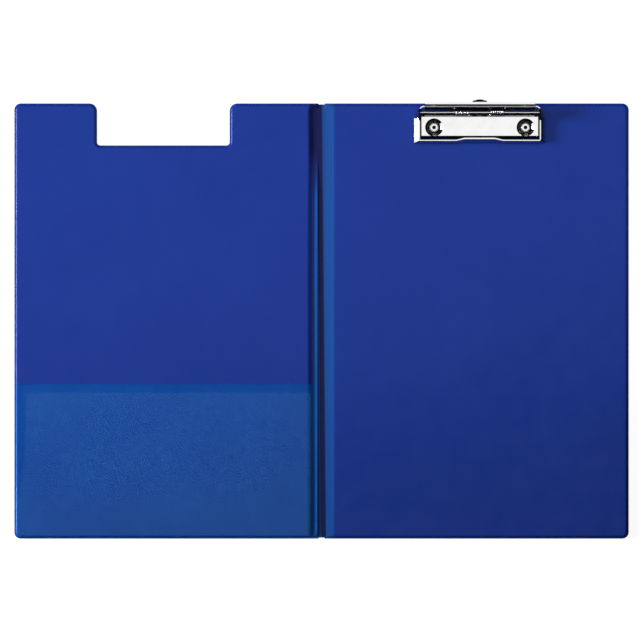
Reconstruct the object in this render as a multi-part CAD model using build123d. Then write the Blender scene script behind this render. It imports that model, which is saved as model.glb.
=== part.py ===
from build123d import *
from math import cos, hypot, pi, radians, sin, sqrt, tan
import os

# A fold-over clipboard folder lying open flat, inside up: two stiff greyboards in a welded PVC
# sleeve, a soft spine between them, a see-through pocket in the cover and a sprung steel clip.
# X runs across the spine, with the clip's panel on +X and the cover on -X.
# Y runs up the pages towards the clip. Z is up, and the folder lies on z = 0.
# The origin is on the fold line at half the folder's height.

# Folder
folder_height = 340.0
panel_width = 240.0
panel_corner = 5.0
spine_width = 21.0
weld_strip_width = 4.7
weld_strip_recess = 0.8
board_thickness = 2.0
foil_thickness = 0.35
weld_flange = 1.2
board_play = 0.15
fold_play = 0.1

# Pocket on the inside of the cover
pocket_height = 120.8
pocket_film = 0.2
pocket_slack = 0.3

# Clip, placed from the fold line and from the top edge
clip_offset = 123.6
rod_inset = 7.2
rod_radius = 1.2
rod_running_play = 0.08
rod_fixed_play = 0.05
rod_collar_radius = 1.9
rod_end_show = 0.15
collar_play = 0.3

# Base plate of the clip
plate_width = 91.0
plate_sheet = 0.8
plate_rise = 2.6
plate_front_inset = 27.4
plate_back_inset = 10.1
plate_bevel = 2.0
plate_end_inset = 6.2
plate_ear_radius = 2.6
dimple_side_inset = 9.8
dimple_inset = 18.8
dimple_radius = 7.0
dimple_floor_radius = 4.7

# Rivets, with their feet and washers sunk in the board under the outer foil
rivet_head_radius = 3.45
rivet_head_height = 0.9
rivet_head_round = 0.72
rivet_radius = 2.1
rivet_bore_radius = 1.5
rivet_foot_radius = 3.2
rivet_foot_thickness = 0.4
washer_radius = 4.5
washer_thickness = 0.5
sink_play = 0.1

# Jaw and lever, one pressing
jaw_sheet = 0.9
jaw_ear_play = 1.3
jaw_arm_width = 4.4
jaw_reach = 24.0
jaw_frame_start = 4.4
jaw_frame_height = 3.4
jaw_flare = 3.3
jaw_lean = 1.3
jaw_bar_depth = 2.7
jaw_lip_gap = 0.1
jaw_bar_round = 1.3
jaw_arm_round = 2.2
ear_shoulder_reach = 5.8
ear_brow_reach = 2.2
ear_brow_drop = 1.4
ear_throat_reach = 4.8
ear_throat_height = 1.2
ear_belly_drop = 3.0
ear_belly_shift = 0.6
ear_round = 0.4
hump_width = 36.6
hump_top_width = 24.0
hump_depth = 1.6
hump_play = 0.9
lever_corner = 4.1
lever_wall_inset = 2.1
lever_wall_foot = 0.7
lever_wall_top = 9.6
lever_strip_inset = 1.1
lever_strip_fall = 0.1
lever_height = 12.2
lever_overhang = 0.8
lever_ledge_inset = 3.0
lever_ledge_rise = 0.05
lever_foot_height = 3.0
lever_lean = 13.5
lever_relief = 0.4
thumb_width = 86.0
thumb_corner = 1.2
sheet_bend = 0.5

# Torsion springs round the rod
spring_wire = 1.0
spring_rod_gap = 0.3
spring_pitch = 1.5
spring_turns = 7
spring_start = 8.5
spring_plate_leg = 6.0
spring_lever_leg = 4.4
spring_seat_gap = 0.05

# Hanging tab, which slides out past the top edge
tab_width = 11.5
tab_sheet = 1.0
tab_lift = 0.15
tab_show = 3.1
tab_tip_width = 2.4
tab_shoulder_drop = 1.1
tab_hole_radius = 3.0
tab_hole_inset = 6.0
tab_travel = 12.0
tab_stop_width = 17.0
tab_stop_depth = 2.0
tab_side_play = 0.3
tab_stop_play = 0.3
tab_tip_corner = 0.9

# Notch in the cover that clears the clip
notch_side_play = 0.6
notch_end_play = 1.6
notch_shoulder = 6.0
notch_corner = 2.5

# Worked out from the sizes above
half_height = folder_height / 2
half_board = board_thickness / 2
half_folder = half_board + foil_thickness
deck = 2 * half_folder
board_start = spine_width / 2
strip_half = weld_strip_width / 2
panel_start = strip_half + foil_thickness + fold_play
ear_inner = plate_width / 2 + jaw_ear_play
jaw_half = ear_inner + jaw_arm_width
dimple_spacing = plate_width - 2 * dimple_side_inset
notch_half = jaw_half + notch_side_play
notch_depth = rod_inset + jaw_reach + notch_end_play
coil_radius = rod_radius + spring_rod_gap + spring_wire / 2
rod_height = plate_rise + spring_seat_gap + spring_wire / 2 + coil_radius
clip_place = Location((clip_offset, half_height, deck))
past = 5.0


def box_between(low, high):
    """A block from its lowest to its highest corner."""
    size = [b - a for a, b in zip(low, high)]
    middle = [(a + b) / 2 for a, b in zip(low, high)]
    return Pos(*middle) * Box(*size)


def save(node, shape):
    """Write one piece, or a group of like pieces, to its own file."""
    export_step(shape, "parts/" + node + ".step")


def near(face, x, y):
    """The corner of a flat outline that lies nearest a point."""
    return min(face.vertices(), key=lambda v: hypot(v.X - x, v.Y - y))


# Sleeve: every foil is a shallow tray, welded to its twin in the folder's middle plane
def panel_outline(inset, start, notched):
    """Half of the folder seen from above, drawn in from its outer edges by inset."""
    right = panel_width - inset
    top = half_height - inset
    face = make_face(Polyline((start, -top), (right, -top), (right, top), (start, top), close=True))
    corner = panel_corner - inset
    if corner > 0:
        face = fillet([near(face, right, -top), near(face, right, top)], corner)
    if not notched:
        return face
    left_wall = clip_offset - notch_half - inset
    right_wall = clip_offset + notch_half + inset
    floor = half_height - notch_depth - inset
    cut = Pos(clip_offset, (floor + top + past) / 2) * Rectangle(right_wall - left_wall, top + past - floor)
    face = (face - cut).face()
    for wall in (left_wall, right_wall):
        shoulder = notch_shoulder - inset
        if shoulder > 0:
            face = fillet(near(face, wall, top), shoulder).face()
        face = fillet(near(face, wall, floor), notch_corner + inset).face()
    return face


def sloped_block(inset, notched, rise, foot):
    """The panel's form up to rise, falling to foot where the spine's weld begins."""
    block = extrude(panel_outline(inset, panel_start, notched), rise)
    slope = Polyline((panel_start, foot), (board_start, rise), (board_start, rise + past),
                     (panel_start - past, rise + past), (panel_start - past, foot), close=True)
    section = Plane.XZ * make_face(slope)
    away = extrude(section, folder_height / 2, both=True)
    return block - away


def foil_tray(notched):
    """One foil over the board, above the middle plane: top, walls, welded rim and spine slope."""
    rim = extrude(panel_outline(0, panel_start, notched), foil_thickness)
    outside = sloped_block(weld_flange, notched, half_folder, foil_thickness)
    inside = sloped_block(weld_flange + foil_thickness, notched, half_board, 0)
    return rim + outside - inside


def board(notched):
    """A greyboard, loose in its sleeve by board_play."""
    inset = weld_flange + foil_thickness + board_play
    face = panel_outline(inset, board_start, notched)
    return Pos(0, 0, -half_board) * extrude(face, board_thickness)


def pocket():
    """Clear film over the lower cover, welded at three edges and open at the top."""
    lift = half_folder + pocket_slack
    seat = foil_thickness
    edge = weld_flange - pocket_slack
    rim = Pos(0, 0, seat) * extrude(panel_outline(0, panel_start, True), pocket_film)
    outside = sloped_block(edge - pocket_film, True, lift + pocket_film, seat + pocket_film)
    inside = sloped_block(edge, True, lift, seat)
    film = rim + outside - inside
    spine_end = panel_start + pocket_film
    kept = box_between((spine_end, -half_height - past, seat),
                       (panel_width + past, pocket_height - half_height, lift + past))
    return film & kept


def weld_strip():
    """One of the two foil layers of the spine's weld, above the middle plane."""
    length = folder_height - 2 * weld_strip_recess
    return Pos(0, 0, foil_thickness / 2) * Box(weld_strip_width, length, foil_thickness)


def to_cover(shape):
    return mirror(shape, Plane.YZ)


def to_underside(shape):
    return mirror(shape, Plane.XY)


def lie(shape):
    """From the folder's middle plane to its place on the table."""
    return Pos(0, 0, half_folder) * shape


# Clip: drawn from its centre at the folder's top edge, with height 0 on the inner foil
def bent_sheet(points, bend, thickness, width):
    """Sheet metal of one width, folded along a line of points given as (along Y, up)."""
    line = FilletPolyline(*points, radius=bend)
    section = trace(line, thickness)
    return extrude(Plane.YZ * section, width / 2, both=True)


def side_profile(points, radius):
    """A flat ear seen from the side, with a round boss about the rod."""
    face = make_face(Polyline(*points, close=True))
    return face + Pos(-rod_inset, rod_height) * Circle(radius)


def pair_of_ears(profile, inner, thickness, hole_radius):
    """Two upright ears, one at each end of the clip, with the rod's hole through both."""
    ear = Pos(inner, 0, 0) * extrude(Plane.YZ * profile, thickness)
    hole = on_rod(Cylinder(hole_radius, 2 * (inner + thickness + past)))
    return (ear + mirror(ear, Plane.YZ)) - hole


def on_rod(shape):
    """Turn a round piece from Z onto the rod's axis."""
    return Pos(0, -rod_inset, rod_height) * Rot(0, 90, 0) * shape


def at_rivets(shape):
    """A copy at each of the two rivet places."""
    return [Pos(side * dimple_spacing / 2, -dimple_inset, 0) * shape for side in (-1, 1)]


def dimple():
    """A dished seat for a rivet, pressed down from the plate's face onto the foil."""
    bore = rivet_radius + rod_fixed_play
    run = dimple_radius - dimple_floor_radius
    rise = plate_rise - plate_sheet
    thick = plate_sheet * hypot(run, rise) / rise
    foot = dimple_floor_radius + thick - plate_sheet * run / rise
    wall = Polyline((bore, 0), (bore, plate_sheet), (dimple_floor_radius, plate_sheet), (dimple_radius, plate_rise),
                    (dimple_radius + thick, plate_rise), (foot, 0), close=True)
    return revolve(Plane.XZ * make_face(wall), Axis.Z)


def under_plate(profile):
    """The room under the plate's sheet, from its bevel to the step behind its face."""
    front, edge, step = profile[:3]
    line = Polyline((front[0], 0), (front[0], -front[1]), edge, step, (step[0], 0), close=True)
    return extrude(Plane.YZ * make_face(line), plate_width / 2, both=True)


def base_plate():
    """Bevelled front, raised face, and a slope down to the board that ends under the rod."""
    half = plate_sheet / 2
    face = plate_rise - half
    profile = [(-plate_front_inset, -half), (plate_bevel - plate_front_inset, face),
               (-plate_back_inset - half, face), (-rod_inset - rod_radius, half), (-plate_end_inset, half)]
    plate = bent_sheet(profile, sheet_bend, plate_sheet, plate_width)
    plate = plate - box_between((-plate_width, -2 * plate_front_inset, -past), (plate_width, past, 0))
    room = plate + under_plate(profile)
    for opening in at_rivets(Pos(0, 0, plate_rise) * Cylinder(dimple_radius, 2 * plate_sheet)):
        plate = plate - opening
    for seat in at_rivets(dimple()):
        plate = plate + (seat & room)
    ear_front = -plate_back_inset - plate_sheet
    ear_points = [(ear_front, half), (-plate_end_inset, half),
                  (plate_ear_radius - rod_inset, rod_height), (-plate_ear_radius - rod_inset, rod_height)]
    ears = side_profile(ear_points, plate_ear_radius)
    inner = plate_width / 2 - plate_sheet
    plate = plate + pair_of_ears(ears, inner, plate_sheet, rod_radius + rod_fixed_play)
    slot_half = tab_width / 2 + tab_side_play
    slot_top = plate_rise - plate_sheet
    plate = plate - box_between((-slot_half, -plate_back_inset - plate_sheet, -past), (slot_half, past, slot_top))
    return plate - hump_room()


def hump_room():
    """The cut in the plate's front edge that the wedge in the middle of the jaw bar reaches into."""
    front = -(rod_inset + jaw_reach)
    low = hump_width / 2 + hump_play
    high = hump_top_width / 2 + hump_play
    back = front + jaw_bar_depth
    tip = back + hump_depth + hump_play
    plan = Polyline((-low, front), (low, front), (low, back), (high, tip), (-high, tip), (-low, back), close=True)
    return extrude(make_face(plan), past, both=True)


def wall_shift(lean):
    """How far a leaning wall's inner face lies from its outer face, measured level."""
    rise = jaw_frame_height - jaw_lip_gap
    return jaw_sheet * hypot(lean, rise) / rise


def frame_level(height, side_shift, front_shift, back):
    """The jaw frame's outline at one height, where its walls lean in as they rise."""
    share = (height - jaw_lip_gap) / (jaw_frame_height - jaw_lip_gap)
    half = jaw_half - jaw_flare * share - side_shift
    front = -(rod_inset + jaw_reach) + jaw_lean * share + front_shift
    return Pos(0, (front + back) / 2, height) * Rectangle(2 * half, back - front)


def bar_section(depth):
    """The jaw bar cut across: a flat top and a leaning lip, moved back by depth at the top."""
    lean = jaw_lean + depth
    front = -(rod_inset + jaw_reach)
    back = front + jaw_bar_depth + depth
    rise = jaw_frame_height - jaw_lip_gap
    under = jaw_frame_height - jaw_sheet
    shift = wall_shift(lean)
    inner = front + shift + lean * (rise - jaw_sheet) / rise
    section = make_face(Polyline((back, jaw_frame_height), (front + lean, jaw_frame_height), (front, jaw_lip_gap),
                                 (front + shift, jaw_lip_gap), (inner, under), (back, under), close=True))
    return fillet([near(section, front + lean, jaw_frame_height)], jaw_bar_round)


def jaw_frame():
    """Leaning walls that roll over into a narrow top, and a window over the base plate."""
    back = -(rod_inset + jaw_frame_start)
    bar_back = -(rod_inset + jaw_reach) + jaw_bar_depth
    top = jaw_frame_height
    outside = loft([frame_level(jaw_lip_gap, 0, 0, back), frame_level(top, 0, 0, back)], ruled=True)
    for axis, pick, size in ((Axis.X, 0, jaw_arm_round), (Axis.X, -1, jaw_arm_round), (Axis.Y, 0, jaw_bar_round)):
        rim = outside.faces().sort_by(Axis.Z)[-1].edges().sort_by(axis)
        outside = fillet([rim[pick]], size)
    side_shift = wall_shift(jaw_flare)
    front_shift = wall_shift(jaw_lean)
    inside = loft([frame_level(jaw_lip_gap - past, side_shift, front_shift, past),
                   frame_level(top - jaw_sheet, side_shift, front_shift, past)], ruled=True)
    window = box_between((-ear_inner, bar_back, -past), (ear_inner, past, top + past))
    low = hump_width / 2
    high = hump_top_width / 2
    middle = box_between((-low, bar_back - past, -past), (low, bar_back, top + past))
    frame = outside - inside - window - middle
    plain = bar_section(0)
    pushed = bar_section(hump_depth)
    for side in (-1, 1):
        frame = frame + loft([Plane.YZ.offset(side * low) * plain, Plane.YZ.offset(side * high) * pushed], ruled=True)
    return frame + extrude(Plane.YZ * pushed, high, both=True)


def jaw_wall():
    """An upright ear along each side of the plate, with the round corners behind the rod."""
    back = -lever_wall_inset
    length = rod_inset + jaw_reach + past
    outer = Pos(0, back - length / 2) * RectangleRounded(2 * (ear_inner + jaw_sheet), length, lever_corner)
    inner = Pos(0, back - jaw_sheet - length / 2) * RectangleRounded(2 * ear_inner, length, lever_corner - jaw_sheet)
    ring = extrude(outer - inner, lever_height)
    bar_back = -(rod_inset + jaw_reach) + jaw_bar_depth
    line = FilletPolyline((bar_back, jaw_frame_height - jaw_sheet), (bar_back, jaw_frame_height),
                          (-rod_inset - ear_shoulder_reach, jaw_frame_height),
                          (-rod_inset - ear_brow_reach, lever_wall_top - ear_brow_drop),
                          (back - lever_corner / 2, lever_wall_top), (past, lever_wall_top),
                          (past, rod_height - lever_wall_foot), (back - jaw_sheet, rod_height - lever_wall_foot),
                          (ear_belly_shift - rod_inset, rod_height - ear_belly_drop),
                          (-rod_inset - ear_throat_reach, ear_throat_height), radius=ear_round, close=True)
    wall = ring & extrude(Plane.YZ * make_face(line), jaw_half, both=True)
    straight = thumb_width / 2 - lever_relief
    wall = wall - box_between((-straight, back - jaw_sheet - past, -past), (straight, past, lever_wall_top - jaw_sheet / 2))
    return wall - on_rod(Cylinder(rod_radius + rod_running_play, 2 * jaw_half))


def thumb_strip():
    """The rear wall leans in to the rod at its foot, steps back over a ledge and ends in the thumb's strip."""
    strip = lever_height - jaw_sheet / 2
    foot = -lever_ledge_inset - (lever_wall_top - lever_foot_height) * tan(radians(lever_lean))
    profile = [(foot, lever_foot_height), (-lever_ledge_inset, lever_wall_top - lever_ledge_rise),
               (-lever_wall_inset, lever_wall_top + lever_ledge_rise),
               (-lever_strip_inset, strip - lever_strip_fall), (lever_overhang, strip)]
    thumb = bent_sheet(profile, sheet_bend, jaw_sheet, thumb_width)
    plan = Pos(0, lever_overhang - thumb_width / 2) * RectangleRounded(thumb_width, thumb_width, thumb_corner)
    return thumb & extrude(plan, lever_height + past)


def jaw_lever():
    """Jaw frame, side ears, and the rear wall with its thumb strip, all one pressing."""
    return jaw_frame() + jaw_wall() + thumb_strip()


def hinge_rod():
    """The rod that the jaw turns on, with a collar between each plate ear and the jaw's wall."""
    rod = Cylinder(rod_radius, 2 * (ear_inner + jaw_sheet + rod_end_show))
    length = jaw_ear_play - 2 * collar_play
    for side in (-1, 1):
        collar = Cylinder(rod_collar_radius, length)
        rod = rod + Pos(0, 0, side * (ear_inner - jaw_ear_play / 2)) * collar
    return on_rod(rod)


def coil_point(turn):
    """Where the spring's wire is after some turns, and the way it runs there."""
    angle = 2 * pi * turn - pi / 2
    rise = spring_pitch / (2 * pi * coil_radius)
    place = Vector(spring_start + spring_pitch * turn, coil_radius * cos(angle) - rod_inset,
                   coil_radius * sin(angle) + rod_height)
    way = Vector(rise, -sin(angle), cos(angle)).normalized()
    return place, way


def biarc(place_a, way_a, place_b, way_b):
    """Two tangent arcs from one point and direction to another."""
    step = place_b - place_a
    ways = way_a + way_b
    bend = 2 * (1 - way_a.dot(way_b))
    reach = (sqrt(step.dot(ways) ** 2 + bend * step.dot(step)) - step.dot(ways)) / bend
    knee_a = place_a + way_a * reach
    knee_b = place_b - way_b * reach
    middle = (knee_a + knee_b) * 0.5
    return [TangentArc(place_a, middle, tangent=way_a), TangentArc(middle, place_b, tangent=knee_b - knee_a)]


def torsion_spring():
    """Wire on the rod, with one leg forward on the base plate and one up along the lever's leaning wall."""
    turns = spring_turns + 0.25 - lever_lean / 360
    steps = 4 * spring_turns + 1
    stops = [coil_point(turns * k / steps) for k in range(steps + 1)]
    first, first_way = stops[0]
    last, last_way = stops[-1]
    plate_end = first - first_way * spring_plate_leg
    lever_end = last + last_way * spring_lever_leg
    edges = [Line(plate_end, first)]
    for (a, way_a), (b, way_b) in zip(stops, stops[1:]):
        edges += biarc(a, way_a, b, way_b)
    edges.append(Line(last, lever_end))
    path = Wire([edge.edge() for edge in edges])
    section = Plane(origin=plate_end, z_dir=first_way) * Circle(spring_wire / 2)
    print("spring: least gap between turns", round(least_gap(), 3), "mm")
    return sweep(section, path=path)


def least_gap():
    """The smallest clear distance of the wire to itself, on points along the coil."""
    per_turn = 24
    points = [coil_point(k / per_turn)[0] for k in range(per_turn * spring_turns + 1)]
    pairs = [(points[i] - points[j]).length for i in range(len(points))
             for j in range(i + per_turn // 2, len(points))]
    return min(pairs) - spring_wire


def rivets():
    """Tubular rivets: a rolled head in each dimple and a foot spread under the washer."""
    head_seat = plate_sheet
    foot_top = -foil_thickness - board_thickness + sink_depth() - washer_thickness
    foot_bottom = foot_top - rivet_foot_thickness
    tube = box_tube(rivet_radius, foot_bottom, head_seat + rivet_head_height)
    head = box_tube(rivet_head_radius, head_seat, head_seat + rivet_head_height)
    rim = head.edges().group_by(Axis.Z)[-1].sort_by(SortBy.RADIUS)[-1]
    head = fillet(rim, rivet_head_round)
    foot = box_tube(rivet_foot_radius, foot_bottom, foot_top)
    bore = box_tube(rivet_bore_radius, foot_bottom - past, head_seat + past)
    return at_rivets(tube + head + foot - bore)


def box_tube(radius, low, high):
    """A round bar about the vertical, from one height to another."""
    return Pos(0, 0, (low + high) / 2) * Cylinder(radius, high - low)


def sink_depth():
    """How deep the board is sunk from below for a washer and a rivet's foot."""
    return washer_thickness + rivet_foot_thickness + sink_play


def washers():
    """Washers against the sunk board, round the rivets."""
    top = -foil_thickness - board_thickness + sink_depth()
    disc = box_tube(washer_radius, top - washer_thickness, top)
    return at_rivets(disc - box_tube(rivet_radius + rod_fixed_play, top - past, top + past))


def rivet_holes(radius, low, high):
    return [clip_place * hole for hole in at_rivets(box_tube(radius, low, high))]


def hanging_tab():
    """A flat tab with a hole to hang the folder by, and a wider end that stops it coming out."""
    half = tab_width / 2
    stop_front = -plate_back_inset - plate_sheet - tab_stop_play - tab_travel
    stop_back = stop_front - tab_stop_depth
    tip = tab_tip_width / 2
    shoulder = tab_show - tab_shoulder_drop
    plan = make_face(Polyline((-half, stop_back), (half, stop_back), (half, shoulder), (tip, tab_show),
                              (-tip, tab_show), (-half, shoulder), close=True))
    corners = [near(plan, x, y) for x, y in ((half, shoulder), (tip, tab_show), (-tip, tab_show), (-half, shoulder))]
    plan = fillet(corners, tab_tip_corner)
    plan = plan + Pos(0, (stop_front + stop_back) / 2) * Rectangle(tab_stop_width, tab_stop_depth)
    plan = plan - Pos(0, tab_show - tab_hole_inset) * Circle(tab_hole_radius)
    return Pos(0, 0, tab_lift) * extrude(plan, tab_sheet)


def group(shapes):
    return Compound(children=[Solid(s.solid().wrapped) for s in shapes])


os.makedirs("parts", exist_ok=True)

# Back panel, which carries the clip
back_board = lie(board(False))
for hole in rivet_holes(rivet_radius + rod_fixed_play, -deck - past, past):
    back_board = back_board - hole
for sink in rivet_holes(washer_radius + board_play, -deck, -foil_thickness - board_thickness + sink_depth()):
    back_board = back_board - sink
back_inner = lie(foil_tray(False))
for hole in rivet_holes(rivet_radius + rod_fixed_play, -foil_thickness - half_board, past):
    back_inner = back_inner - hole
save("back_board", back_board)
save("back_inner_foil", back_inner)
save("back_outer_foil", lie(to_underside(foil_tray(False))))

# Spine and cover
save("spine_inner_foil", lie(weld_strip()))
save("spine_outer_foil", lie(to_underside(weld_strip())))
save("cover_board", lie(to_cover(board(True))))
save("cover_inner_foil", lie(to_cover(foil_tray(True))))
save("cover_outer_foil", lie(to_underside(to_cover(foil_tray(True)))))
save("cover_pocket", lie(to_cover(pocket())))

# Clip
spring = torsion_spring()
save("clip_base_plate", clip_place * base_plate())
save("jaw_lever", clip_place * jaw_lever())
save("hinge_rod", clip_place * hinge_rod())
save("spring_right", clip_place * spring)
save("spring_left", clip_place * mirror(spring, Plane.YZ))
save("rivets", group([clip_place * r for r in rivets()]))
save("rivet_washers", group([clip_place * w for w in washers()]))
save("hanging_tab", clip_place * hanging_tab())
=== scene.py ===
# %% [markdown]
# # A fold-over clipboard folder, lying open
# Two stiff panels in a blue PVC sleeve, a soft spine between them, a see-through pocket on the
# cover and a bright sprung clip on the back panel. The solids of every rigid part come in as a
# fixed frame, and this lesson dresses them: it makes the soft sleeve, the pocket film and the
# springs as new meshes, and gives each finish its own shader.

# %% Load the solids
import math
import bpy
import bmesh
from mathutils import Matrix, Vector, geometry, noise


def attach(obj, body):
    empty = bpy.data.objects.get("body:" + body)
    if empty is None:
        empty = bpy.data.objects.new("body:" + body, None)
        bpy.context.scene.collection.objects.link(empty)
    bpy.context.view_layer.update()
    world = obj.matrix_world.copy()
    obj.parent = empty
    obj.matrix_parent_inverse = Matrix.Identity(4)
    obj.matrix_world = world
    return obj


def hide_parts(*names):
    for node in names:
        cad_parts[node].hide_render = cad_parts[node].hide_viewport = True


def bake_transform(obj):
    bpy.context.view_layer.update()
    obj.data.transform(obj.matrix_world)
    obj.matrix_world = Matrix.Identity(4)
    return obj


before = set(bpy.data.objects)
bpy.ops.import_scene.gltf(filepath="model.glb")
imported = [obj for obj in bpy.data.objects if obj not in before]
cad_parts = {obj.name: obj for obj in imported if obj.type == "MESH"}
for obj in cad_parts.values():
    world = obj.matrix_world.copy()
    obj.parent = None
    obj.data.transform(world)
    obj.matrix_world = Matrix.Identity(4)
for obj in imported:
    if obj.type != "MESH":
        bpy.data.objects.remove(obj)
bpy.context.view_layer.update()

# %% [markdown]
# ## Camera
# The folder is seen from straight above. A very long lens keeps the clip from leaning away from
# the middle of the picture, as it would under a short one, so the camera stands several metres
# up. The picture shows a little over half a metre across.

# %% Put the camera above the folder
MM = 0.001
nearly_zero = 1e-6
picture_side = 500.2 * MM
lens_length = 400.0
sensor_side = 36.0
view_middle = (-1.2 * MM, 0.8 * MM)
camera_height = picture_side * lens_length / sensor_side

camera_data = bpy.data.cameras.new("long_lens")
camera_data.lens = lens_length
camera_data.sensor_width = sensor_side
camera_data.clip_end = 100.0
camera = bpy.data.objects.new("camera_above", camera_data)
camera.location = (*view_middle, camera_height)
bpy.context.collection.objects.link(camera)
bpy.context.scene.camera = camera
bpy.context.scene.view_settings.view_transform = "Standard"
print("camera height, m:", round(camera_height, 3))

# %% [markdown]
# ## Light
# Shiny sheet metal is lit by what it mirrors, not by lamps. Flat metal mirrors the white above
# it. A ring of dark card stands round the table and a dark mat lies between it and the folder.
# Both are seen only in mirrored rays: every bend and slope of the clip mirrors them and draws a
# dark line. The ring has a low window on the left, where a long lamp stands. It throws the clip's
# shadow to the right, lights the welded edges and draws the white lines on the clip's left
# slopes. A wide soft box hangs over the upper half of the pages, so they darken towards the lower
# edge. Painting the dark lines on the metal would be quicker, but they would not move when the
# jaw opens.

# %% Lamps and dark card
def soft_lamp(name, place, target, size, power):
    """A rectangular lamp that faces its target."""
    data = bpy.data.lights.new(name, "AREA")
    data.shape = "RECTANGLE"
    data.size, data.size_y = size
    data.energy = power
    lamp = bpy.data.objects.new(name, data)
    lamp.location = place
    aim = Vector(target) - Vector(place)
    lamp.rotation_euler = aim.to_track_quat("-Z", "Y").to_euler()
    bpy.context.collection.objects.link(lamp)
    lamp.visible_camera = False
    return lamp


soft_box = soft_lamp("soft_box", (0.0, 0.13, 0.16), (0.0, 0.13, 0.0), (1.3, 0.38), 0.9)
soft_box_turn = 7
soft_box.rotation_euler.z = math.radians(soft_box_turn)
soft_box.visible_glossy = False
soft_lamp("side_lamp", (-3.8, 0.3, 0.95), (0.0, 0.05, 0.0), (1.4, 0.6), 300.0)

ring_radius = 1.0
ring_top = 3.2
window_top = 0.7
window_half = math.radians(27)
ring_steps = 80
mat_half = (0.244, 0.174)
mat_height = 1 * MM


def mat_edge(k):
    """Where the card on the table meets the folder's outline, in the direction of a ring column."""
    angle = 2 * math.pi * k / ring_steps
    x, y = math.cos(angle), math.sin(angle)
    reach = min(mat_half[0] / max(abs(x), nearly_zero), mat_half[1] / max(abs(y), nearly_zero))
    return (reach * x, reach * y, mat_height)


def dark_ring():
    """A wall round the table with a low window on the left, and a mat from it to the folder."""
    bm = bmesh.new()
    heights = (mat_height, window_top, ring_top)
    columns = []
    for k in range(ring_steps):
        angle = 2 * math.pi * k / ring_steps
        x, y = ring_radius * math.cos(angle), ring_radius * math.sin(angle)
        columns.append([bm.verts.new((x, y, z)) for z in heights])
    for k, column in enumerate(columns):
        beside = columns[(k + 1) % ring_steps]
        middle = 2 * math.pi * (k + 0.5) / ring_steps
        if abs(middle - math.pi) > window_half:
            bm.faces.new((column[0], beside[0], beside[1], column[1]))
            corners = (mat_edge(k), mat_edge(k + 1), beside[0].co, column[0].co)
            bm.faces.new([bm.verts.new(p) for p in corners])
        bm.faces.new((column[1], beside[1], beside[2], column[2]))
    mesh = bpy.data.meshes.new("dark_card_ring")
    bm.to_mesh(mesh)
    bm.free()
    ring = bpy.data.objects.new("dark_card_ring", mesh)
    bpy.context.collection.objects.link(ring)
    for ray in ("visible_camera", "visible_diffuse", "visible_transmission", "visible_shadow"):
        setattr(ring, ray, False)
    return ring


card_ring = dark_ring()

# %% [markdown]
# ## Floor and background
# The floor is pale and dull. Seen directly or in a mirror it also glows a little, so that it
# reads as a white table, while the part of it that is lit by the lamps keeps the folder's shadow.
# The world does the same: white where it is seen, and dimmer where it lights the folder. A light
# path node tells the two kinds of ray apart. A plain white floor would be simpler, but it would
# show grey where the light is weak, or throw more light on the folder.
#
# Every material in this lesson is a small graph of nodes. Writing out each link makes long code,
# so the moves that come back often get a helper: a node with its sockets set, a sum, a mix of
# shaders.

# %% Helpers for shader nodes
def empty_material(name):
    """A material with its nodes cleared, and its node and link lists."""
    material = bpy.data.materials.new(name)
    material.use_nodes = True
    material.node_tree.nodes.clear()
    return material, material.node_tree.nodes, material.node_tree.links


def shader(nodes, kind, **values):
    """A shader node with some of its sockets set: Base_Color stands for Base Color."""
    node = nodes.new("ShaderNode" + kind)
    for name, value in values.items():
        node.inputs[name.replace("_", " ")].default_value = value
    return node


def maths(nodes, links, operation, *values, clamp=False):
    """A maths node: each value is a number or another node's output."""
    node = nodes.new("ShaderNodeMath")
    node.operation = operation
    node.use_clamp = clamp
    for socket, value in zip(node.inputs, values):
        if isinstance(value, (int, float)):
            socket.default_value = value
        else:
            links.new(value, socket)
    return node.outputs[0]


def mixed_shaders(nodes, links, share, first, second):
    """The first shader, and the second by a share from 0 to 1."""
    mix = nodes.new("ShaderNodeMixShader")
    for value, socket in zip((share, first.outputs[0], second.outputs[0]), mix.inputs):
        links.new(value, socket)
    return mix


def to_surface(nodes, links, surface):
    """Make a shader the material's surface."""
    out = nodes.new("ShaderNodeOutputMaterial")
    links.new(surface.outputs[0], out.inputs["Surface"])


# %% [markdown]
# The floor lies a hair below the folder's underside, so that the two faces don't flicker through
# each other. The card is as dull and dark as card gets, and lights nothing.

# %% Floor, background and card
seen_white = 1.0
ambient = 0.075
floor_glow = 0.9
floor_half = 3.0
floor_height = -0.02 * MM
floor_dull = 0.8
floor_dull_seen = 0.28
card_colour = (0.004, 0.004, 0.005, 1)


def seen_directly(nodes, links):
    """1 for rays from the camera, from a mirror or through clear film, and 0 for the rest."""
    path = nodes.new("ShaderNodeLightPath")
    camera_ray, glossy_ray = path.outputs["Is Camera Ray"], path.outputs["Is Glossy Ray"]
    either = maths(nodes, links, "MAXIMUM", camera_ray, glossy_ray)
    return maths(nodes, links, "MAXIMUM", either, path.outputs["Is Transmission Ray"])


def pale_floor_material():
    """Dull and pale where it lights things, and nearly white where it is seen."""
    material, nodes, links = empty_material("pale_floor")
    matte = shader(nodes, "BsdfDiffuse", Color=(floor_dull,) * 3 + (1,))
    thin = shader(nodes, "BsdfDiffuse", Color=(floor_dull_seen,) * 3 + (1,))
    glow = shader(nodes, "Emission", Strength=floor_glow)
    lit = nodes.new("ShaderNodeAddShader")
    links.new(thin.outputs[0], lit.inputs[0])
    links.new(glow.outputs[0], lit.inputs[1])
    to_surface(nodes, links, mixed_shaders(nodes, links, seen_directly(nodes, links), matte, lit))
    return material


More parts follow.
